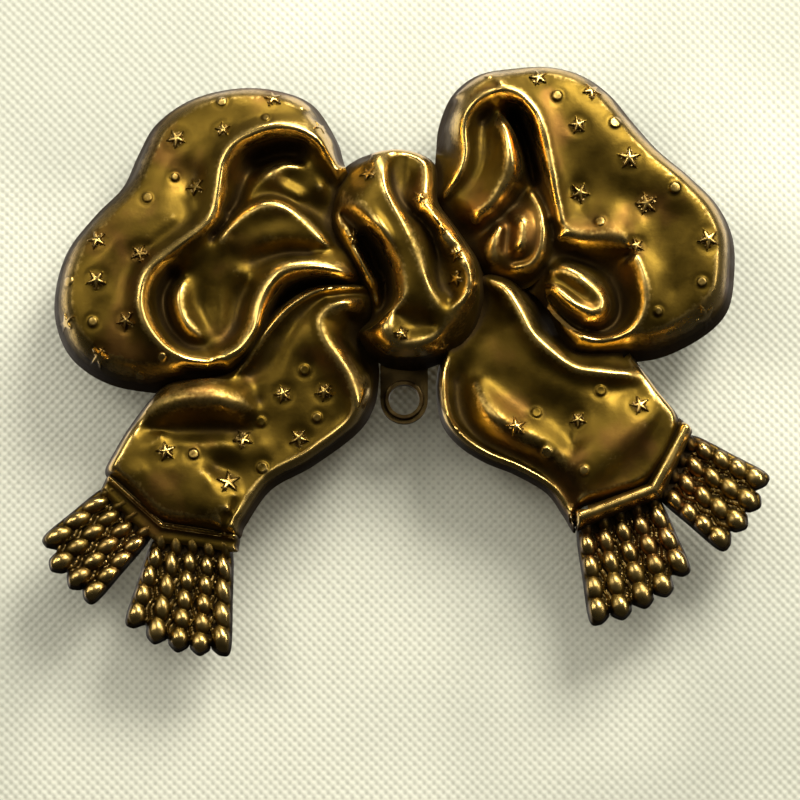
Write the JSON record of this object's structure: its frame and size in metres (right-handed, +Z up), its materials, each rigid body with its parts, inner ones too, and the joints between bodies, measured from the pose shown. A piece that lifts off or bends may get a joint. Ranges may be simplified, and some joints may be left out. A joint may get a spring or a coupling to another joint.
{
  "type": "bow ornament",
  "caption": "Brass ribbon bow ornament with puffed loops, a knot, fringed tails, a drop tab with a hole, and a hinged pin with a turning catch on its back.",
  "frame": {"origin": "middle of the pin bar's seat on the back plate's rear face, where cloth is pinned", "axes": "+X to the bow's right as seen from the front, +Z up, front faces -Y"},
  "size_m": [0.0629, 0.0144, 0.0515],
  "materials": {
    "struck_brass": "antiqued, dark in the recesses and polished on the crests",
    "fringe_brass": "antiqued, polished on the beads",
    "plate_brass": "rolled sheet, dull",
    "pin_brass": "drawn and turned, plain",
    "pin_steel": "drawn wire, nickel plated"
  },
  "bodies": {
    "bow": {"knot": "struck_brass", "left_loop": "struck_brass", "right_loop": "struck_brass", "left_loop_lining": "struck_brass", "right_loop_upper_lining": "struck_brass", "right_loop_lower_lining": "struck_brass", "left_loop_pleat": "struck_brass", "right_loop_lobe": "struck_brass", "right_loop_petal": "struck_brass", "right_loop_tongue": "struck_brass", "left_tail": "struck_brass", "right_tail": "struck_brass", "left_tail_roll": "struck_brass", "left_hem": "struck_brass", "right_hem": "struck_brass", "left_outer_fringe": "fringe_brass", "left_inner_fringe": "fringe_brass", "right_inner_fringe": "fringe_brass", "right_outer_fringe": "fringe_brass", "back_plate": "plate_brass", "drop_eyelet": "plate_brass", "pin_bar": "pin_brass", "bar_rivets": "pin_brass", "hinge_rivet": "pin_brass", "catch_casing": "pin_brass"},
    "pin": {"pin_stem": "pin_steel"},
    "lock": {"catch_lock": "pin_brass"}
  },
  "joints": [
    {"name": "pin_hinge", "type": "hinge", "parent": "bow", "child": "pin", "pos_m": [-0.0155, 0.003, 0], "axis": [0, 0, 1], "range_deg": [0, 80]},
    {"name": "catch_turn", "type": "hinge", "parent": "bow", "child": "lock", "pos_m": [0.0157, 0.003, 0], "axis": [1, 0, 0], "range_deg": [0, 90]}
  ]
}
